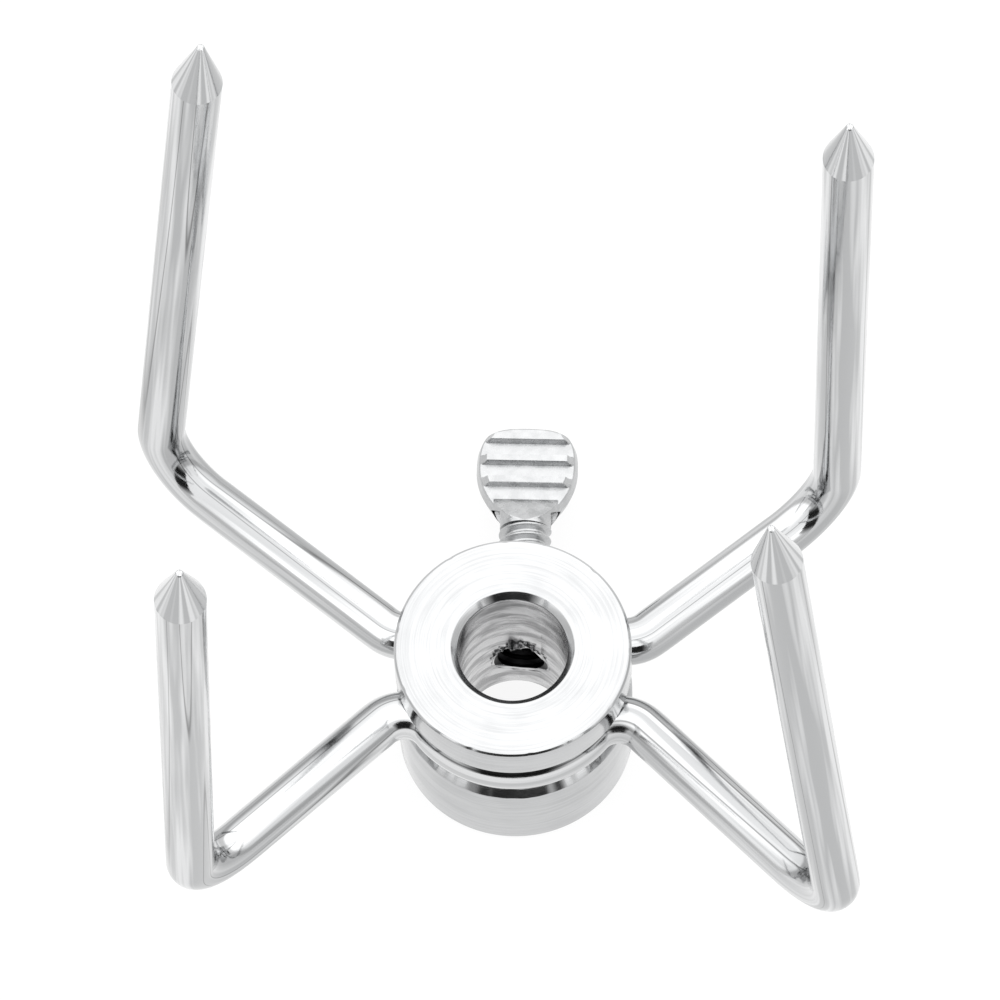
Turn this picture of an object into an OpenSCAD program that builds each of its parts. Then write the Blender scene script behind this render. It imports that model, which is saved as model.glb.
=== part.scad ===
/* [Hub] */
// outside diameter of the hub
hub_d = 28; // [20:0.5:40]
// height of the hub
hub_h = 24; // [18:0.5:40]
// bore for the spit rod
bore_d = 13; // [8:0.5:16]
// chamfer at the top of the bore
bore_chamfer = 0.8; // [0.2:0.1:1.5]
// small edge break on the rim
rim_chamfer = 0.3; // [0.1:0.05:1]
// thickness of the flange above the groove
flange_t = 4.9; // [3:0.1:8]
// height of the groove that holds the rods
groove_h = 6.8; // [6:0.1:9]
// chamfer at the lower lip of the groove
lip_chamfer = 0.9; // [0.3:0.1:1.5]

/* [Prongs] */
// diameter of the prong rod
rod_d = 5.7; // [4:0.1:8]
// height of the rod's axis above the hub's base
rod_z = 15.7; // [12:0.1:24]
// radius of the rod's axis where it wraps the groove
wrap_r = 11.5; // [10:0.1:16]
// radius of the rod's axis where it leaves the groove
hook_r = 4.5; // [3.5:0.1:8]
// radius of the rod's axis where an arm turns up
corner_r = 8; // [4:0.25:12]
// length of a prong from its corner to the start of its point
prong_l = 95; // [60:1:140]
// length of the point
point_l = 8; // [4:0.5:14]
// diameter of the blunt end of the point
point_d = 0.8; // [0.4:0.1:2]

/* [Thumb screw] */
// outside diameter of the screw's thread
screw_d = 6.35; // [5:0.05:8]
// diameter of the tapped hole, with a running clearance
screw_hole_d = 6.5; // [5.1:0.05:8.2]
// height of the screw's axis above the hub's base
screw_z = 6.7; // [6:0.1:10]
// sideways offset of the screw's axis from the axis of the hub
screw_x = 0.45; // [-1:0.05:1]
// distance of the screw's tip from the hub's axis
screw_tip = 9; // [6.5:0.1:12]
// length of the threaded shank
shank_l = 14.3; // [10:0.1:30]
// chamfer at the screw's tip
screw_chamfer = 0.7; // [0.3:0.1:1.2]
// width of the flat thumb grip
grip_w = 12.2; // [8:0.1:20]
// length of the grip with its neck
grip_l = 13.2; // [8:0.1:20]
// thickness of the flat thumb grip
grip_t = 3.2; // [1.5:0.1:4]
// length of the neck that tapers from the shank to the grip
neck_l = 3.4; // [2:0.1:6]
// number of ribs on each face of the grip
ribs = 3; // [1:1:5]
// height of each rib
rib_h = 1; // [0.2:0.1:1.4]

/* [Hidden] */
$fn = 96;
// straights run this far into a bend, so that each rod joins up as one solid
lap = 0.05;
// a bent length is this much thinner than a straight one
thin = 0.02;
// gap where the turning grip meets the sliding shank
seat_gap = 0.05;
floor_r = wrap_r - rod_d / 2 - 0.03;
groove_top = hub_h - flange_t;
groove_low = groove_top - groove_h;
lip_low = groove_low - lip_chamfer;

// each list runs: front left, front right, rear left, rear right
// +1 or -1 for the side of the hub each prong is on
side_x = [-1, 1, -1, 1];
side_y = [-1, -1, 1, 1];
// where the axes of arm and prong cross; hand-bent, so no two are the same
corner_x = [-37.0, 39.1, -43.5, 37.7];
corner_y = [-27.3, -28.9, 27.6, 24.4];
// angle of each arm from the X axis
arm_deg = [44.2, 43.7, 38.1, 40.4];
// sideways run of each prong for each mm that it rises
lean_x = [0.042, -0.085, 0.099, 0.003];
lean_y = [-0.074, 0.007, 0.012, -0.040];

// the rib pattern on the grip
rib_w = 1;
rib_pitch = 2.9;
rib_inset = 0.8;
rib_first = 5.55;
grip_y = screw_tip + shank_l + seat_gap;
// from the neck's start to the middle of the grip's round outline
grip_mid = 7.75;
// where the neck's sides flare out, and where they meet the round outline
flare_y = 1.55;
shoulder_x = 5.7;
shoulder_y = 5.6;

function arm_dir(i) = [side_x[i] * cos(arm_deg[i]), side_y[i] * sin(arm_deg[i])];
function arm_side(i) = [-side_x[i] * sin(arm_deg[i]), side_y[i] * cos(arm_deg[i])];
function corner(i) = [corner_x[i], corner_y[i]];
// how far the end of the hook lies behind the corner, along the arm
function along(i) = corner(i) * arm_dir(i);
function hook_spread(i) = corner(i) * corner(i) + hook_r * hook_r
    + 2 * hook_r * (corner(i) * arm_side(i)) - pow(wrap_r + hook_r, 2);
function arm_len(i) = along(i) - sqrt(pow(along(i), 2) - hook_spread(i));
function hook_mid(i) = corner(i) - arm_len(i) * arm_dir(i) + hook_r * arm_side(i);
function leave_deg(i) = atan2(hook_mid(i)[1], hook_mid(i)[0]);
function prong_dir(i) = [lean_x[i], lean_y[i], 1] / norm([lean_x[i], lean_y[i], 1]);
function turn_deg(i) = acos(prong_dir(i) * [arm_dir(i)[0], arm_dir(i)[1], 0]);
function trim(i) = corner_r * tan(turn_deg(i) / 2);
function wrapped(a) = a > 180 ? a - 360 : a < -180 ? a + 360 : a;

// the turned hub: bore, flange, groove, tapped hole
module hub() {
    color([0.78, 0.79, 0.8])
    difference() {
        rotate_extrude()
        polygon([
            [bore_d / 2, 0],
            [hub_d / 2 - rim_chamfer, 0],
            [hub_d / 2, rim_chamfer],
            [hub_d / 2, lip_low],
            [hub_d / 2 - lip_chamfer, groove_low],
            [floor_r, groove_low],
            [floor_r, groove_top],
            [hub_d / 2, groove_top],
            [hub_d / 2, hub_h - rim_chamfer],
            [hub_d / 2 - rim_chamfer, hub_h],
            [bore_d / 2 + bore_chamfer, hub_h],
            [bore_d / 2, hub_h - bore_chamfer]
        ]);
        translate([screw_x, 0, screw_z])
        rotate([-90, 0, 0])
        cylinder(h = hub_d, d = screw_hole_d);
    }
}

// a length of rod bent round a vertical axis
module flat_bend(mid, r, from_deg, sweep_deg, d) {
    translate([mid[0], mid[1], rod_z])
    rotate([0, 0, min(from_deg, from_deg + sweep_deg)])
    rotate_extrude(angle = abs(sweep_deg))
    translate([r, 0])
    circle(d = d);
}

// the bend that carries the rod from the groove out to its arm
module hook(i) {
    start = atan2(-hook_mid(i)[1], -hook_mid(i)[0]);
    stop = atan2(-arm_side(i)[1], -arm_side(i)[0]);
    sweep = wrapped(stop - start);
    extra = sign(sweep) * lap / hook_r * 180 / PI;
    flat_bend(hook_mid(i), hook_r, start - extra, sweep + extra, rod_d - 2 * thin);
}

// the straight arm between the hook and the corner
module arm(i) {
    foot = corner(i) - (arm_len(i) + lap) * arm_dir(i);
    translate([foot[0], foot[1], rod_z])
    rotate([0, 90, atan2(arm_dir(i)[1], arm_dir(i)[0])])
    cylinder(h = arm_len(i) - trim(i) + 2 * lap, d = rod_d);
}

// the corner where the arm turns up into the prong
module elbow(i) {
    d = [arm_dir(i)[0], arm_dir(i)[1], 0];
    u = prong_dir(i);
    n = (u - cos(turn_deg(i)) * d) / sin(turn_deg(i));
    w = cross(-n, d);
    mid = [corner_x[i], corner_y[i], rod_z] - trim(i) * d + corner_r * n;
    multmatrix([
        [-n[0], d[0], w[0], mid[0]],
        [-n[1], d[1], w[1], mid[1]],
        [-n[2], d[2], w[2], mid[2]],
        [0, 0, 0, 1]
    ])
    rotate_extrude(angle = turn_deg(i))
    translate([corner_r, 0])
    circle(d = rod_d - thin);
}

// the upright prong with its turned point
module prong(i) {
    u = prong_dir(i);
    translate([corner_x[i], corner_y[i], rod_z])
    rotate([0, acos(u[2]), atan2(u[1], u[0])])
    rotate_extrude()
    polygon([
        [0, trim(i) - lap],
        [rod_d / 2, trim(i) - lap],
        [rod_d / 2, prong_l],
        [point_d / 2, prong_l + point_l],
        [0, prong_l + point_l]
    ]);
}

// one bent rod: two prongs and the wrap that joins them
module prong_rod(left, right) {
    union() {
        flat_bend(
            [0, 0],
            wrap_r,
            leave_deg(left),
            wrapped(leave_deg(right) - leave_deg(left)),
            rod_d - thin
        );
        for (i = [left, right]) {
            hook(i);
            arm(i);
            elbow(i);
            prong(i);
        }
    }
}

module front_prong_rod() {
    color([0.72, 0.73, 0.75])
    prong_rod(0, 1);
}

module rear_prong_rod() {
    color([0.66, 0.68, 0.72])
    prong_rod(2, 3);
}

// the screw's thread, held at its outside diameter
module thumb_screw_shank() {
    color([0.6, 0.62, 0.66])
    translate([screw_x, screw_tip, screw_z])
    rotate([-90, 0, 0]) {
        cylinder(h = screw_chamfer, d1 = screw_d - 2 * screw_chamfer, d2 = screw_d);
        translate([0, 0, screw_chamfer])
        cylinder(h = shank_l - screw_chamfer, d = screw_d);
    }
}

// outline of the grip, seen along its thin direction
module grip_outline(inset) {
    intersection() {
        translate([0, grip_mid])
        circle(d = grip_w - 2 * inset);
        translate([-grip_w / 2, 0])
        square([grip_w, grip_l - inset]);
    }
}

// the pressed flat grip, with ribs across its outer half
module thumb_screw_grip() {
    color([0.7, 0.72, 0.75])
    translate([screw_x, grip_y, screw_z]) {
        translate([0, 0, -grip_t / 2])
        linear_extrude(grip_t) {
            grip_outline(0);
            polygon([
                [-screw_d / 2, flare_y],
                [screw_d / 2, flare_y],
                [shoulder_x, shoulder_y],
                [-shoulder_x, shoulder_y]
            ]);
        }
        rotate([-90, 0, 0])
        cylinder(h = neck_l, d1 = screw_d, d2 = grip_t);
        intersection() {
            translate([0, 0, -grip_t])
            linear_extrude(2 * grip_t)
            grip_outline(rib_inset);
            for (k = [0 : ribs - 1])
            translate([-grip_w / 2, rib_first - rib_w / 2 + k * rib_pitch, -grip_t / 2 - rib_h])
            cube([grip_w, rib_w, grip_t + 2 * rib_h]);
        }
    }
}

hub();
front_prong_rod();
rear_prong_rod();
thumb_screw_shank();
thumb_screw_grip();
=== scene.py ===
"""Four-prong rotisserie spit fork: plated steel hub, two bent prong rods and a thumb screw."""

import math

import bmesh
import bpy
import numpy as np
from mathutils import Matrix, Vector


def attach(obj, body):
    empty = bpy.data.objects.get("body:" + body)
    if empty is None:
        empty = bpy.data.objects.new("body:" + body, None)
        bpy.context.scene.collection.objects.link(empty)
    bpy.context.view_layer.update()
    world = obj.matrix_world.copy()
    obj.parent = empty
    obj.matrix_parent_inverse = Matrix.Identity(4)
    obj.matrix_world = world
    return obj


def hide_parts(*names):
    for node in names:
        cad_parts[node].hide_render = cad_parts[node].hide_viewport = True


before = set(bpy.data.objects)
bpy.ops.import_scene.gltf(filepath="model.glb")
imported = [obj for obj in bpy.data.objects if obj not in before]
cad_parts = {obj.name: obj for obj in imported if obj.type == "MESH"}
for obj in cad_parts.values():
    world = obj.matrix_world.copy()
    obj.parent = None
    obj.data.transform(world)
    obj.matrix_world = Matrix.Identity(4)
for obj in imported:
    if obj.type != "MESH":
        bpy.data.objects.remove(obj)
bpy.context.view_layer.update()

MM = 0.001

# ---------------------------------------------------------------- dimensions, mm
HUB_R = 14.0
HUB_H = 24.0
BORE_R = 6.5
BORE_CHAMFER = 0.8
GROOVE_TOP = 19.1
GROOVE_LOW = 12.3
LIP = 0.9
FLOOR_R = 8.62

ROD_R = 2.85
ROD_Z = 15.7
WRAP_R = 11.5
HOOK_R = 4.5
CORNER_R = 8.0
PRONG_L = 95.0
POINT_L = 8.0
POINT_R = 0.4
# every point starts just above this height
POINT_Z = 109.6

# front left, front right, rear left, rear right
SIDE = [(-1, -1), (1, -1), (-1, 1), (1, 1)]
CORNER = [(-37.0, -27.3), (39.1, -28.9), (-43.5, 27.6), (37.7, 24.4)]
ARM_DEG = [44.2, 43.7, 38.1, 40.4]
LEAN = [(0.042, -0.074), (-0.085, 0.007), (0.099, 0.012), (0.003, -0.040)]

SCREW_X = 0.45
SCREW_Z = 6.7
SCREW_TIP = 9.0
# length of the tip painted near-black as shade, inside the hole
SHADED_TIP = 2.0
SCREW_R = 3.175
HOLE_R = 3.25
PITCH = 1.27
THREAD_DEPTH = 0.62
NECK_Y = 23.3
NECK_L = 3.4
GRIP_MID = 31.0
GRIP_END = 36.5
# half the grip's width and half its thickness
GRIP_W = 6.1
GRIP_T = 1.6
# the round outline's reach towards the neck
GRIP_REACH = 7.05
# the pressed side: its height, and the widths of the draft and of the rounded edge
SIDE_H = 1.36
DRAFT_W = 0.30
EDGE_W = 0.24
RIB_Y = (28.9, 31.8, 34.7)
RIB_H = 1.0
RIB_HALF = 0.60
RIB_DRAFT = 0.16


# ---------------------------------------------------------------- mesh helpers
def make_object(name, verts, faces, smooth_deg=28.0):
    """A mesh object from points in mm, smooth except at edges sharper than smooth_deg."""
    mesh = bpy.data.meshes.new(name)
    mesh.from_pydata([tuple(v) for v in np.asarray(verts) * MM], [], faces)
    obj = bpy.data.objects.new(name, mesh)
    bpy.context.scene.collection.objects.link(obj)
    tidy_mesh(obj, smooth_deg)
    return obj


def tidy_mesh(obj, smooth_deg):
    """Merge doubled points, point the normals outward, and mark the sharp edges."""
    bm = bmesh.new()
    bm.from_mesh(obj.data)
    bmesh.ops.remove_doubles(bm, verts=bm.verts, dist=2e-7)
    bmesh.ops.dissolve_degenerate(bm, edges=bm.edges, dist=2e-7)
    bmesh.ops.recalc_face_normals(bm, faces=bm.faces)
    for face in bm.faces:
        face.smooth = True
    for edge in bm.edges:
        edge.smooth = not (edge.is_manifold and edge.calc_face_angle(0) > math.radians(smooth_deg))
    bm.to_mesh(obj.data)
    bm.free()


def grid_faces(rows, cols, wrap_rows=False, wrap_cols=False):
    """Quads over a grid of rows x cols points."""
    faces = []
    for i in range(rows if wrap_rows else rows - 1):
        for j in range(cols if wrap_cols else cols - 1):
            a, b = i * cols + j, i * cols + (j + 1) % cols
            k = (i + 1) % rows
            faces.append((a, b, k * cols + (j + 1) % cols, k * cols + j))
    return faces


def rounded(profile, radius, steps=4):
    """A closed 2-D profile with each corner rounded by radius."""
    out = []
    n = len(profile)
    for i in range(n):
        p, c, q = (np.array(profile[k % n], float) for k in (i - 1, i, i + 1))
        u, v = p - c, q - c
        lu, lv = np.linalg.norm(u), np.linalg.norm(v)
        r = min(radius, 0.4 * lu, 0.4 * lv)
        a, b = c + u / lu * r, c + v / lv * r
        for k in range(steps + 1):
            t = k / steps
            out.append((1 - t) ** 2 * a + 2 * t * (1 - t) * c + t * t * b)
    return out


def ripple(angle, seeds):
    """A smooth irregular wave round a circle, about -1 to 1."""
    return sum(math.sin(k * angle + p) for k, p in seeds) / len(seeds)


# ---------------------------------------------------------------- hub
def hub_mesh():
    profile = rounded(
        [
            (BORE_R, 0),
            (HUB_R - 0.3, 0),
            (HUB_R, 0.3),
            (HUB_R, GROOVE_LOW - LIP),
            (HUB_R - LIP, GROOVE_LOW),
            (FLOOR_R, GROOVE_LOW),
            (FLOOR_R, GROOVE_TOP),
            (HUB_R, GROOVE_TOP),
            (HUB_R, HUB_H - 0.3),
            (HUB_R - 0.3, HUB_H),
            (BORE_R + BORE_CHAMFER, HUB_H),
            (BORE_R, HUB_H - BORE_CHAMFER),
        ],
        0.1,
    )
    turns = 288
    verts = []
    for i in range(turns):
        a = 2 * math.pi * i / turns
        for r, z in profile:
            # the lip was pressed in over the rods, which left it uneven
            near = math.exp(-(((z - GROOVE_LOW + 0.5 * LIP) / 0.7) ** 2)) * (r > HUB_R - 1.4)
            wave = ripple(a, ((7, 0.4), (11, 2.1), (17, 4.0), (29, 1.3), (43, 5.2)))
            dz = near * 0.13 * wave
            dr = -near * 0.05 * (1 + ripple(a, ((5, 1.0), (13, 3.3), (31, 0.2))))
            # small dings on the flange's top edge
            rim = math.exp(-(((z - HUB_H) / 0.35) ** 2)) * (r > HUB_R - 0.5)
            ding = max(0.0, ripple(a, ((9, 0.2), (23, 1.7), (37, 2.6), (53, 0.9))) - 0.35)
            dr -= rim * 0.22 * ding
            verts.append(((r + dr) * math.cos(a), (r + dr) * math.sin(a), z + dz))
    return make_object("hub_body", verts, grid_faces(turns, len(profile), True, True))


def cut(obj, cutter):
    """Subtract cutter from obj and apply it."""
    mod = obj.modifiers.new("cut", "BOOLEAN")
    mod.operation = "DIFFERENCE"
    mod.solver = "EXACT"
    mod.object = cutter
    deps = bpy.context.evaluated_depsgraph_get()
    mesh = bpy.data.meshes.new_from_object(obj.evaluated_get(deps))
    obj.modifiers.clear()
    obj.data = mesh
    bpy.data.objects.remove(cutter, do_unlink=True)


# ---------------------------------------------------------------- thread
def thread_radius(phase, depth):
    """Radial drop from the crest, for a phase of 0 to 1 along one pitch."""
    d = abs(phase - 0.5) * 2
    return depth * min(1.0, max(0.0, (1 - d - 0.14) / 0.68))


def thread_mesh(name, y0, y1, crest, depth, end_limit, around=72, per_pitch=12):
    """A closed right-hand thread along +Y. end_limit(y) caps the radius near the ends."""
    turns = (y1 - y0) / PITCH
    rows = int((turns + 2) * per_pitch)
    verts = []
    for j in range(rows):
        for i in range(around):
            a = 2 * math.pi * i / around
            raw = y0 - PITCH + PITCH * (j / per_pitch + i / around)
            y = min(max(raw, y0), y1)
            phase = (y / PITCH - a / (2 * math.pi)) % 1.0
            r = min(crest - thread_radius(phase, depth), end_limit(y))
            verts.append((SCREW_X + r * math.sin(a), y, SCREW_Z + r * math.cos(a)))
    faces = []
    for j in range(rows - 1):
        for i in range(around):
            if i < around - 1:
                a, b = j * around + i, j * around + i + 1
                c, d = (j + 1) * around + i + 1, (j + 1) * around + i
                faces.append((a, b, c, d))
            elif j + per_pitch + 1 < rows:
                a, b = j * around + i, (j + per_pitch) * around
                c, d = (j + per_pitch + 1) * around, (j + 1) * around + i
                faces.append((a, b, c, d))
    mesh = bpy.data.meshes.new(name)
    mesh.from_pydata([tuple(v) for v in np.array(verts) * MM], [], faces)
    bm = bmesh.new()
    bm.from_mesh(mesh)
    bmesh.ops.remove_doubles(bm, verts=bm.verts, dist=3e-7)
    bmesh.ops.dissolve_degenerate(bm, edges=bm.edges, dist=3e-7)
    bmesh.ops.holes_fill(bm, edges=[e for e in bm.edges if e.is_boundary], sides=0)
    bmesh.ops.recalc_face_normals(bm, faces=bm.faces)
    bm.to_mesh(mesh)
    bm.free()
    obj = bpy.data.objects.new(name, mesh)
    bpy.context.scene.collection.objects.link(obj)
    return obj


def burr_mesh():
    """A ragged collar of metal torn up round the tapped hole, on the wall of the bore."""
    verts = []
    around, across = 220, 9
    for i in range(around):
        a = 2 * math.pi * i / around
        rag = ripple(a, ((3, 0.9), (7, 2.2), (12, 4.4), (19, 0.3), (31, 1.9)))
        # the tap broke out upwards, so most of the torn metal lies above the hole
        upward = math.exp(-(((a + 0.25 + math.pi) % (2 * math.pi) - math.pi) / 0.75) ** 2)
        width = 0.22 + 0.16 * rag + upward * (1.3 + 1.2 * rag)
        lift = 0.08 + 0.05 * rag + upward * (0.42 + 0.4 * rag)
        for k in range(across):
            t = k / (across - 1)
            r = HOLE_R + 0.03 + max(0.1, width) * t
            x, z = SCREW_X + r * math.sin(a), SCREW_Z + r * math.cos(a)
            bulge = math.sin(math.pi * t) * (1 + 0.5 * math.sin(9 * a + 7 * t))
            wall = math.sqrt(BORE_R**2 - x * x) + 0.05
            verts.append((x, wall - max(0.0, lift) * bulge, z))
    return make_object("burr", verts, grid_faces(around, across, True, False), 35.0)


# ---------------------------------------------------------------- prong rods
def unit(v):
    return v / np.linalg.norm(v)


def prong_path(i):
    """The rod's axis from its place on the wrap out to the point: points and rod radii."""
    sx, sy = SIDE[i]
    psi = math.radians(ARM_DEG[i])
    d = np.array((sx * math.cos(psi), sy * math.sin(psi), 0.0))
    n = np.array((-sx * math.sin(psi), sy * math.cos(psi), 0.0))
    up = unit(np.array((*LEAN[i], 1.0)))
    corner = np.array((*CORNER[i], ROD_Z))
    flat = np.array((*CORNER[i], 0.0))
    spread = flat @ flat + HOOK_R**2 + 2 * HOOK_R * (flat @ n) - (WRAP_R + HOOK_R) ** 2
    reach = flat @ d - math.sqrt((flat @ d) ** 2 - spread)
    mid = corner - reach * d + HOOK_R * n
    leave = math.atan2(mid[1], mid[0])
    start = leave + math.pi
    stop = math.atan2(-n[1], -n[0])
    sweep = (stop - start + math.pi) % (2 * math.pi) - math.pi
    pts, radii = [], []

    def put(p, r=ROD_R):
        pts.append(np.array(p))
        radii.append(r)

    for k in range(25):
        a = start + sweep * k / 24
        put(mid + HOOK_R * np.array((math.cos(a), math.sin(a), 0.0)), ROD_R - 0.02)
    turn = math.acos(up @ d)
    trim = CORNER_R * math.tan(turn / 2)
    foot = corner - reach * d
    arm_end = corner - trim * d
    for t in (0.03, 0.12, 0.3, 0.5, 0.7, 0.88, 0.97):
        put(foot + (arm_end - foot) * t)
    side = unit(up - (up @ d) * d)
    bend_mid = arm_end + CORNER_R * side
    for k in range(21):
        a = turn * k / 20
        put(bend_mid + CORNER_R * (-side * math.cos(a) + d * math.sin(a)), ROD_R - 0.01)
    for k in range(1, 25):
        put(corner + up * (trim + (PRONG_L - trim) * k / 25))
    put(corner + up * (PRONG_L - 0.08))
    put(corner + up * (PRONG_L + 0.08), ROD_R - 0.06)
    for k in range(1, 12):
        t = k / 12
        put(corner + up * (PRONG_L + POINT_L * t), ROD_R + (POINT_R - ROD_R) * t)
    put(corner + up * (PRONG_L + POINT_L - 0.12), POINT_R + 0.04)
    put(corner + up * (PRONG_L + POINT_L - 0.03), POINT_R - 0.06)
    put(corner + up * (PRONG_L + POINT_L), POINT_R - 0.22)
    return pts, radii, leave


def rod_mesh(name, left, right):
    a_pts, a_rad, a_leave = prong_path(left)
    b_pts, b_rad, b_leave = prong_path(right)
    sweep = (b_leave - a_leave + math.pi) % (2 * math.pi) - math.pi
    wrap = []
    for k in range(1, 48):
        a = a_leave + sweep * k / 48
        wrap.append(np.array((WRAP_R * math.cos(a), WRAP_R * math.sin(a), ROD_Z)))
    pts = a_pts[::-1] + wrap + b_pts
    rad = a_rad[::-1] + [ROD_R - 0.01] * len(wrap) + b_rad
    around = 48
    tangents = [unit(pts[min(i + 1, len(pts) - 1)] - pts[max(i - 1, 0)]) for i in range(len(pts))]
    normal = unit(np.cross(tangents[0], (0.3, 0.9, 0.1)))
    verts, runs, angles = [], [], []
    run = 0.0
    for i, (p, r) in enumerate(zip(pts, rad)):
        normal = unit(normal - (normal @ tangents[i]) * tangents[i])
        binormal = np.cross(tangents[i], normal)
        if i:
            run += float(np.linalg.norm(p - pts[i - 1]))
        for k in range(around):
            a = 2 * math.pi * k / around
            verts.append(p + r * (math.cos(a) * normal + math.sin(a) * binormal))
            runs.append(run)
            angles.append((math.cos(a), math.sin(a)))
    faces = grid_faces(len(pts), around, False, True)
    faces.append(tuple(range(around)))
    faces.append(tuple((len(pts) - 1) * around + k for k in range(around)))
    mesh = bpy.data.meshes.new(name)
    mesh.from_pydata([tuple(v) for v in np.array(verts) * MM], [], faces)
    # where each point lies on the drawn rod: round it and along it
    draw = mesh.attributes.new("drawn", "FLOAT_VECTOR", "POINT")
    draw.data.foreach_set(
        "vector", np.array([(c, s, u * MM) for (c, s), u in zip(angles, runs)]).ravel()
    )
    obj = bpy.data.objects.new(name, mesh)
    bpy.context.scene.collection.objects.link(obj)
    tidy_mesh(obj, 12.0)
    return obj


# ---------------------------------------------------------------- thumb screw grip
def arch(t):
    """A squarish quarter round, from 1 at t = 0 down to 0 at t = 1."""
    return max(0.0, 1 - t**3) ** (1 / 3)


def grip_width(y):
    """Half the grip's width at y."""
    if y >= GRIP_MID:
        return GRIP_W * arch((y - GRIP_MID) / (GRIP_END - GRIP_MID))
    round_w = GRIP_W * math.sqrt(max(0.0, 1 - ((GRIP_MID - y) / GRIP_REACH) ** 2))
    return max(round_w, SCREW_R - 0.12)


def ease(t):
    t = min(1.0, max(0.0, t))
    return t * t * (3 - 2 * t)


def ramp(t):
    return min(1.0, max(0.0, t))


def grip_height(x, y):
    """Height of the grip's upper face above the screw's axis."""
    edge = grip_width(y) - abs(x)
    tail = GRIP_MID + (GRIP_END - GRIP_MID) * arch(abs(x) / GRIP_W) - y
    inward = min(edge, tail)
    # drafted side, then a small rounded edge, then the flat face
    side = SIDE_H * ramp(inward / DRAFT_W)
    edge_round = math.sin(0.5 * math.pi * ramp((inward - DRAFT_W) / EDGE_W))
    blade = side + (GRIP_T - SIDE_H) * edge_round
    top = blade
    for mid in RIB_Y:
        across = ramp((RIB_HALF - abs(y - mid)) / RIB_DRAFT)
        ends = ramp((edge - 0.50) / 0.75)
        tail_end = ramp((tail - 0.5) / 0.3)
        top = max(top, blade + RIB_H * across * ends * tail_end)
    # the neck slopes from the round shank down to the flat face
    neck_r = SCREW_R - 0.1
    fall = neck_r - (neck_r - GRIP_T) * ramp((y - NECK_Y) / NECK_L)
    half = 3.0 + 1.1 * ease((y - NECK_Y) / NECK_L)
    if y < NECK_Y + NECK_L + 0.4:
        barrel = math.sqrt(max(0.0, neck_r**2 - x * x))
        wide = (half - abs(x)) * 3.5 + 0.9
        mixed = barrel + (wide - barrel) * ease((y - NECK_Y - 0.2) / 2.2)
        top = max(top if y > NECK_Y + 1.2 else min(top, mixed), min(fall, mixed))
    return top


def grip_mesh():
    """The pressed grip: upper and lower skins over one outline."""
    ys = [NECK_Y - 0.05]
    while ys[-1] < GRIP_END - 0.6:
        ys.append(ys[-1] + 0.08)
    ys += [GRIP_END - d for d in (0.5, 0.4, 0.3, 0.2, 0.1, 0.03, 0.0)]
    cols = 120
    us = [math.sin(0.5 * math.pi * (2 * k / cols - 1)) for k in range(cols + 1)]
    verts = []
    for y in ys:
        w = grip_width(y)
        for u in us:
            verts.append((SCREW_X + u * w, y, SCREW_Z + max(0.0, grip_height(u * w, y))))
    count = len(verts)
    verts += [(x, y, 2 * SCREW_Z - z) for x, y, z in verts]
    top = grid_faces(len(ys), cols + 1)
    faces = list(top) + [tuple(count + k for k in reversed(f)) for f in top]
    for a in range(cols):
        faces.append((a, count + a, count + a + 1, a + 1))
    for j in range(cols):
        a = (len(ys) - 1) * (cols + 1) + j
        faces.append((a, a + 1, count + a + 1, count + a))
    return make_object("thumb_screw_grip_body", verts, faces, 32.0)


def join(name, objects):
    """One mesh object from several."""
    bm = bmesh.new()
    for obj in objects:
        bm.from_mesh(obj.data)
        bpy.data.objects.remove(obj, do_unlink=True)
    mesh = bpy.data.meshes.new(name)
    bm.to_mesh(mesh)
    bm.free()
    out = bpy.data.objects.new(name, mesh)
    bpy.context.scene.collection.objects.link(out)
    return out


# ---------------------------------------------------------------- materials
def metal(name, color, roughness):
    mat = bpy.data.materials.new(name)
    mat.use_nodes = True
    shader = mat.node_tree.nodes["Principled BSDF"]
    shader.inputs["Metallic"].default_value = 1.0
    shader.inputs["Base Color"].default_value = (*color, 1.0)
    shader.inputs["Roughness"].default_value = roughness
    return mat, mat.node_tree, shader


def node(tree, kind, **settings):
    made = tree.nodes.new(kind)
    for key, value in settings.items():
        if key in made.inputs:
            made.inputs[key].default_value = value
        else:
            setattr(made, key, value)
    return made


def noise(tree, vector, scale, detail=3.0, rough=0.55):
    made = node(tree, "ShaderNodeTexNoise", Scale=scale, Detail=detail, Roughness=rough)
    tree.links.new(vector, made.inputs["Vector"])
    return made.outputs["Fac"]


def spread(tree, value, low, high, to_low, to_high):
    made = node(tree, "ShaderNodeMapRange")
    made.inputs["From Min"].default_value = low
    made.inputs["From Max"].default_value = high
    made.inputs["To Min"].default_value = to_low
    made.inputs["To Max"].default_value = to_high
    tree.links.new(value, made.inputs["Value"])
    return made.outputs["Result"]


def stretch(tree, vector, scale):
    made = node(tree, "ShaderNodeVectorMath", operation="MULTIPLY")
    tree.links.new(vector, made.inputs[0])
    made.inputs[1].default_value = scale
    return made.outputs["Vector"]


def shades(tree, value, dark, light, low=0.35, high=0.65):
    """A colour that runs from dark to light as value goes from low to high."""
    made = tree.nodes.new("ShaderNodeValToRGB")
    made.color_ramp.elements[0].position = low
    made.color_ramp.elements[0].color = (*dark, 1.0)
    made.color_ramp.elements[1].position = high
    made.color_ramp.elements[1].color = (*light, 1.0)
    tree.links.new(value, made.inputs["Fac"])
    return made.outputs["Color"]


def bumped(tree, shader, heights):
    """Stack bump maps, each (height, distance in m, strength)."""
    last = None
    for height, distance, strength in heights:
        made = node(tree, "ShaderNodeBump", Distance=distance, Strength=strength)
        tree.links.new(height, made.inputs["Height"])
        if last:
            tree.links.new(last, made.inputs["Normal"])
        last = made.outputs["Normal"]
    tree.links.new(last, shader.inputs["Normal"])


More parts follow.
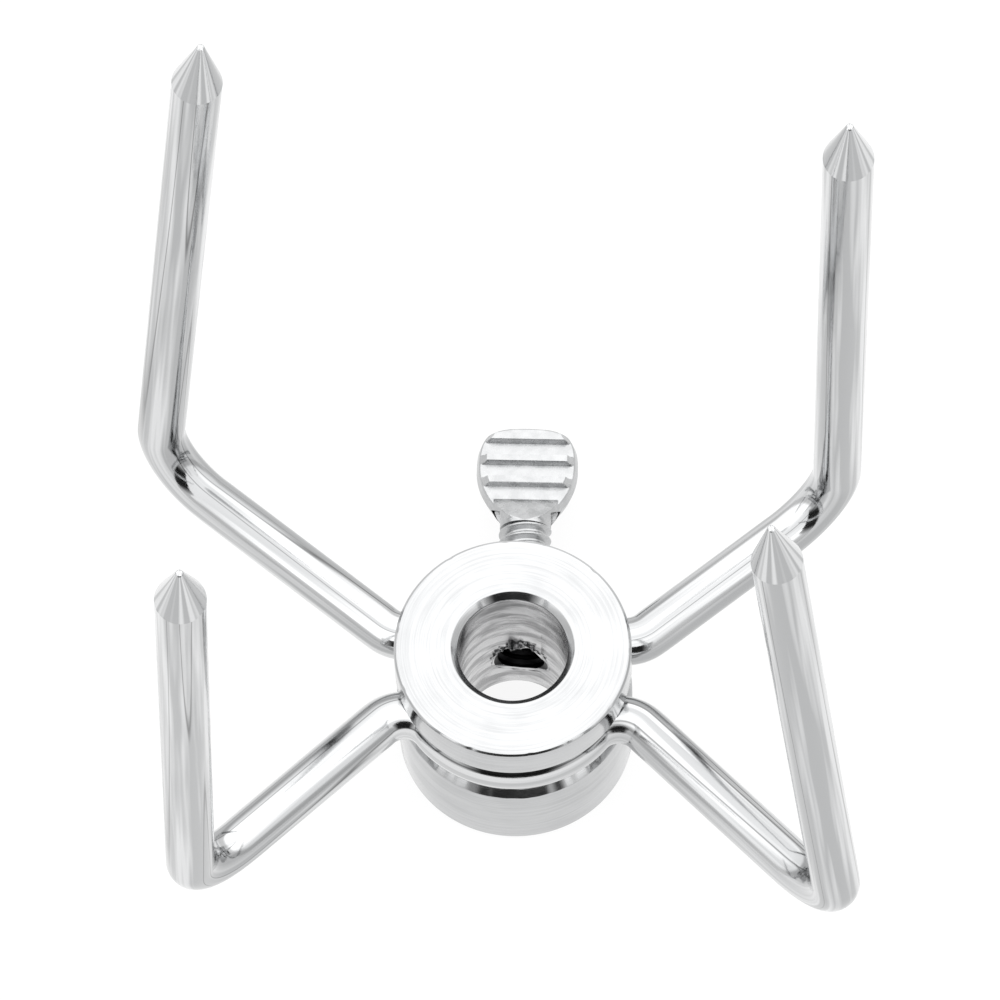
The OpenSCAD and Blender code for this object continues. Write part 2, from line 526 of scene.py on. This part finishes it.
def rings(tree, offset):
    """Distance from the hub's axis and height, as a vector that ignores angle."""
    geo = tree.nodes.new("ShaderNodeTexCoord").outputs["Object"]
    parts = tree.nodes.new("ShaderNodeSeparateXYZ")
    tree.links.new(geo, parts.inputs[0])
    flat = tree.nodes.new("ShaderNodeCombineXYZ")
    tree.links.new(parts.outputs["X"], flat.inputs["X"])
    tree.links.new(parts.outputs["Y"], flat.inputs["Y"])
    length = node(tree, "ShaderNodeVectorMath", operation="LENGTH")
    tree.links.new(flat.outputs[0], length.inputs[0])
    out = tree.nodes.new("ShaderNodeCombineXYZ")
    tree.links.new(length.outputs["Value"], out.inputs["X"])
    tree.links.new(parts.outputs["Z"], out.inputs["Y"])
    out.inputs["Z"].default_value = offset
    return geo, out.outputs[0]


def arcs(tree, across, around):
    """Tool marks that run round the hub's axis but fade in and out along their length."""
    parts = tree.nodes.new("ShaderNodeSeparateXYZ")
    tree.links.new(tree.nodes.new("ShaderNodeTexCoord").outputs["Object"], parts.inputs[0])
    flat = tree.nodes.new("ShaderNodeCombineXYZ")
    tree.links.new(parts.outputs["X"], flat.inputs["Y"])
    tree.links.new(parts.outputs["Y"], flat.inputs["Z"])
    length = node(tree, "ShaderNodeVectorMath", operation="LENGTH")
    tree.links.new(flat.outputs[0], length.inputs[0])
    both = node(tree, "ShaderNodeMath", operation="ADD")
    tree.links.new(length.outputs["Value"], both.inputs[0])
    tree.links.new(parts.outputs["Z"], both.inputs[1])
    row = tree.nodes.new("ShaderNodeCombineXYZ")
    tree.links.new(both.outputs[0], row.inputs["X"])
    bearing = node(tree, "ShaderNodeVectorMath", operation="NORMALIZE")
    tree.links.new(flat.outputs[0], bearing.inputs[0])
    total = node(tree, "ShaderNodeVectorMath", operation="ADD")
    tree.links.new(stretch(tree, row.outputs[0], (across, across, across)), total.inputs[0])
    tree.links.new(stretch(tree, bearing.outputs[0], (around, around, around)), total.inputs[1])
    return total.outputs[0]


def turned_steel():
    mat, tree, shader = metal("turned_plated_steel", (0.6, 0.605, 0.61), 0.12)
    geo, ring = rings(tree, 0.0)
    tool = noise(tree, ring, 5200.0, 2.0)
    marks = noise(tree, arcs(tree, 4600.0, 0.8), 1.0, 3.0, 0.6)
    faint = noise(tree, arcs(tree, 300.0, 1.6), 1.0, 2.0)
    cloud = noise(tree, geo, 260.0, 4.0)
    tint = node(tree, "ShaderNodeMath", operation="MULTIPLY_ADD")
    tree.links.new(marks, tint.inputs[0])
    tint.inputs[1].default_value = 0.7
    tree.links.new(spread(tree, faint, 0.2, 0.8, 0.0, 0.3), tint.inputs[2])
    tone = shades(tree, tint.outputs[0], (0.47, 0.475, 0.48), (0.55, 0.555, 0.56), 0.36, 0.56)
    tree.links.new(tone, shader.inputs["Base Color"])
    tree.links.new(spread(tree, cloud, 0.3, 0.7, 0.1, 0.2), shader.inputs["Roughness"])
    bumped(tree, shader, [(marks, 0.00001, 0.3), (tool, 0.000008, 0.6)])
    return mat


def bored_steel():
    mat, tree, shader = metal("bored_steel", (0.5, 0.5, 0.505), 0.22)
    geo, ring = rings(tree, 0.004)
    wander = noise(tree, geo, 240.0, 2.0)
    bands = noise(tree, arcs(tree, 620.0, 0.9), 1.0, 3.0, 0.6)
    fine = noise(tree, ring, 3600.0, 2.0)
    tone = shades(tree, bands, (0.3, 0.3, 0.305), (0.62, 0.62, 0.625), 0.4, 0.56)
    tree.links.new(tone, shader.inputs["Base Color"])
    tree.links.new(spread(tree, wander, 0.3, 0.7, 0.16, 0.34), shader.inputs["Roughness"])
    bumped(tree, shader, [(bands, 0.00016, 0.8), (fine, 0.00002, 0.6)])
    return mat


def drawn_steel():
    mat, tree, shader = metal("drawn_plated_rod", (0.62, 0.625, 0.635), 0.1)
    draw = tree.nodes.new("ShaderNodeAttribute")
    draw.attribute_name = "drawn"
    line = draw.outputs["Vector"]
    wide = noise(tree, stretch(tree, line, (1.0, 1.0, 8.0)), 2.4, 2.0)
    thin = noise(tree, stretch(tree, line, (1.0, 1.0, 5.0)), 11.0, 3.0, 0.7)
    trace = noise(tree, stretch(tree, line, (1.0, 1.0, 4.0)), 1.5, 0.0)
    geo = tree.nodes.new("ShaderNodeTexCoord").outputs["Object"]
    cloud = noise(tree, geo, 320.0, 3.0)
    # broad light and dark bands along the rod: painted reflection streaks of the surroundings
    reflection_bands = shades(tree, wide, (0.42, 0.425, 0.43), (0.69, 0.695, 0.7), 0.42, 0.62)
    # thin dark lines that run along the rod: painted reflection streaks
    mark = tree.nodes.new("ShaderNodeValToRGB")
    mark.color_ramp.elements[0].position = 0.478
    mark.color_ramp.elements[0].color = (1, 1, 1, 1)
    mark.color_ramp.elements[1].position = 0.522
    mark.color_ramp.elements[1].color = (1, 1, 1, 1)
    mark.color_ramp.elements.new(0.5).color = (0.34, 0.34, 0.34, 1)
    tree.links.new(trace, mark.inputs["Fac"])
    mixed = node(tree, "ShaderNodeVectorMath", operation="MULTIPLY")
    tree.links.new(reflection_bands, mixed.inputs[0])
    tree.links.new(mark.outputs["Color"], mixed.inputs[1])
    tree.links.new(mixed.outputs[0], shader.inputs["Base Color"])
    tree.links.new(spread(tree, cloud, 0.3, 0.7, 0.06, 0.15), shader.inputs["Roughness"])
    bumped(tree, shader, [(thin, 0.00004, 0.22), (cloud, 0.00002, 0.1)])
    return mat


def ground_steel():
    """The points, with light and dark wedges painted into the colour as the shading of ground
    flats.
    """
    mat, tree, shader = metal("ground_plated_point", (0.6, 0.605, 0.61), 0.16)
    draw = tree.nodes.new("ShaderNodeAttribute")
    draw.attribute_name = "drawn"
    # light and dark wedges round each point: painted facet shading
    facet_shading = noise(tree, stretch(tree, draw.outputs["Vector"], (1.0, 1.0, 0.0)), 2.3, 1.0)
    scratch = noise(tree, stretch(tree, draw.outputs["Vector"], (1.0, 1.0, 900.0)), 9.0, 2.0)
    tone = shades(tree, facet_shading, (0.44, 0.445, 0.45), (0.7, 0.705, 0.71), 0.45, 0.55)
    tree.links.new(tone, shader.inputs["Base Color"])
    bumped(tree, shader, [(scratch, 0.00002, 0.3)])
    return mat


def pressed_steel():
    mat, tree, shader = metal("pressed_plated_steel", (0.64, 0.645, 0.65), 0.15)
    geo = tree.nodes.new("ShaderNodeTexCoord").outputs["Object"]
    cloud = noise(tree, geo, 700.0, 4.0)
    pits = noise(tree, geo, 2600.0, 2.0)
    tone = shades(tree, cloud, (0.45, 0.455, 0.46), (0.54, 0.545, 0.55))
    tree.links.new(tone, shader.inputs["Base Color"])
    tree.links.new(spread(tree, cloud, 0.3, 0.7, 0.18, 0.34), shader.inputs["Roughness"])
    bumped(tree, shader, [(cloud, 0.00005, 0.25), (pits, 0.00002, 0.4)])
    return mat


# ---------------------------------------------------------------- build the pieces
# near-black steel: painted shade for the inside of the tapped hole and for the screw's tip within
# it
hole_painted_shade = metal("tapped_hole_painted_shade", (0.035, 0.035, 0.036), 0.35)[0]

hub = hub_mesh()
cut(hub, thread_mesh("tap", 4.0, 16.0, HOLE_R, 0.45, lambda y: HOLE_R))
tidy_mesh(hub, 28.0)
hub = join("hub_turned", [hub, burr_mesh()])
hub.data.materials.append(turned_steel())
hub.data.materials.append(bored_steel())
hub.data.materials.append(hole_painted_shade)
for face in hub.data.polygons:
    c = face.center / MM
    out = math.hypot(c.x, c.y)
    inside = out < BORE_R + 0.06 and c.z < HUB_H - BORE_CHAMFER
    # faces inside the tapped hole get the near-black painted shade
    tapped = math.hypot(c.x - SCREW_X, c.z - SCREW_Z) < HOLE_R + 0.03 and c.y > 5.0
    face.material_index = 1 if inside else 2 * int(tapped and out < HUB_R - 0.06)
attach(hub, "fork")
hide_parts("hub")

rod_steel = drawn_steel()
point_steel = ground_steel()
for name, left, right, cad in (
    ("front_rod_bent", 0, 1, "front_prong_rod"),
    ("rear_rod_bent", 2, 3, "rear_prong_rod"),
):
    rod = rod_mesh(name, left, right)
    rod.data.materials.append(rod_steel)
    rod.data.materials.append(point_steel)
    for face in rod.data.polygons:
        face.material_index = int(face.center.z / MM > POINT_Z)
    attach(rod, "fork")
    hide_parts(cad)


def shank_limit(y):
    """The chamfer at the screw's tip."""
    return min(SCREW_R, SCREW_R - 0.75 + (y - SCREW_TIP))


shank = thread_mesh("shank", SCREW_TIP, NECK_Y, SCREW_R, THREAD_DEPTH, shank_limit)
tidy_mesh(shank, 25.0)
screw = join("thumb_screw_whole", [shank, grip_mesh()])
screw.data.materials.append(pressed_steel())
screw.data.materials.append(hole_painted_shade)
for face in screw.data.polygons:
    # the tip inside the hole gets the near-black painted shade
    face.material_index = int(face.center.y / MM < SCREW_TIP + SHADED_TIP)
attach(screw, "thumb_screw")
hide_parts("thumb_screw_shank", "thumb_screw_grip")

# ---------------------------------------------------------------- floor, light, camera
floor_mesh = bpy.data.meshes.new("studio_floor")
floor_mesh.from_pydata([(-3, -3, 0), (3, -3, 0), (3, 3, 0), (-3, 3, 0)], [], [(0, 1, 2, 3)])
floor = bpy.data.objects.new("studio_floor", floor_mesh)
floor.location.z = -0.0002
bpy.context.scene.collection.objects.link(floor)
paper, _, paper_shader = metal("white_paper", (0.1, 0.1, 0.1), 0.9)
paper_shader.inputs["Metallic"].default_value = 0.0
paper_shader.inputs["Specular IOR Level"].default_value = 0.0
paper_shader.inputs["Emission Color"].default_value = (1, 1, 1, 1)
paper_shader.inputs["Emission Strength"].default_value = 0.9
floor.data.materials.append(paper)

world = bpy.data.worlds.new("studio")
bpy.context.scene.world = world
world.use_nodes = True
wt = world.node_tree
sky = wt.nodes["Background"]
look = wt.nodes.new("ShaderNodeTexCoord").outputs["Generated"]
split = wt.nodes.new("ShaderNodeSeparateXYZ")
wt.links.new(look, split.inputs[0])
shade = wt.nodes.new("ShaderNodeValToRGB")
wt.links.new(split.outputs["Z"], shade.inputs["Fac"])
bands = shade.color_ramp
bands.interpolation = "EASE"
bands.elements[0].position = 0.0
bands.elements[0].color = (0.8, 0.8, 0.8, 1)
bands.elements[1].position = 0.25
bands.elements[1].color = (0.85, 0.85, 0.85, 1)
for place, level in ((0.42, 1.65), (1.0, 1.9)):
    stop = bands.elements.new(place)
    stop.color = (level, level, level, 1)
wt.links.new(shade.outputs["Color"], sky.inputs["Color"])
sky.inputs["Strength"].default_value = 1.0


def dark_card(name, azimuth_deg, elevation_deg, distance, width, height, fade):
    """A dark panel off camera, which the plated steel reflects."""
    mesh = bpy.data.meshes.new(name)
    w, h = width / 2, height / 2
    mesh.from_pydata([(-w, -h, 0), (w, -h, 0), (w, h, 0), (-w, h, 0)], [], [(0, 1, 2, 3)])
    obj = bpy.data.objects.new(name, mesh)
    az, el = math.radians(azimuth_deg), math.radians(elevation_deg)
    where = Vector((math.sin(az) * math.cos(el), -math.cos(az) * math.cos(el), math.sin(el)))
    obj.location = where * distance
    obj.rotation_euler = where.to_track_quat("Z", "Y").to_euler()
    bpy.context.scene.collection.objects.link(obj)
    mat, tree, shader = metal(name, (0.02, 0.02, 0.02), 1.0)
    shader.inputs["Metallic"].default_value = 0.0
    shader.inputs["Specular IOR Level"].default_value = 0.0
    # the card's two sides fade into the light behind it
    parts = tree.nodes.new("ShaderNodeSeparateXYZ")
    tree.links.new(tree.nodes.new("ShaderNodeTexCoord").outputs["Object"], parts.inputs[0])
    side = node(tree, "ShaderNodeMath", operation="ABSOLUTE")
    tree.links.new(parts.outputs["X"], side.inputs[0])
    glow = spread(tree, side.outputs[0], fade * w, w, 0.0, 0.85)
    tree.links.new(glow, shader.inputs["Emission Strength"])
    shader.inputs["Emission Color"].default_value = (1, 1, 1, 1)
    mesh.materials.append(mat)
    obj.visible_camera = False
    obj.visible_shadow = False
    obj.visible_diffuse = False


dark_card("dark_card_front", 2.0, 20.0, 1.6, 2.5, 1.05, 0.55)

AZIMUTH = math.radians(4.35)
ELEVATION = math.radians(64.64)
ROLL = math.radians(-2.77)
DISTANCE = 1.0983
AIM = Vector((-0.0021, 0.0191, 0.024))
LENS_MM = 333.9

away = Vector(
    (
        math.sin(AZIMUTH) * math.cos(ELEVATION),
        -math.cos(AZIMUTH) * math.cos(ELEVATION),
        math.sin(ELEVATION),
    )
)
level_right = Vector((math.cos(AZIMUTH), math.sin(AZIMUTH), 0.0))
level_up = away.cross(level_right)
right = level_right * math.cos(ROLL) + level_up * math.sin(ROLL)
up = away.cross(right)
camera_data = bpy.data.cameras.new("camera")
camera_data.lens = LENS_MM
camera_data.sensor_width = 36.0
camera_data.clip_start = 0.05
camera_data.clip_end = 20.0
camera = bpy.data.objects.new("camera", camera_data)
turn = Matrix((right, up, away)).transposed().to_4x4()
camera.matrix_world = Matrix.Translation(AIM + away * DISTANCE) @ turn
bpy.context.scene.collection.objects.link(camera)
bpy.context.scene.camera = camera
bpy.context.scene.view_settings.view_transform = "Standard"
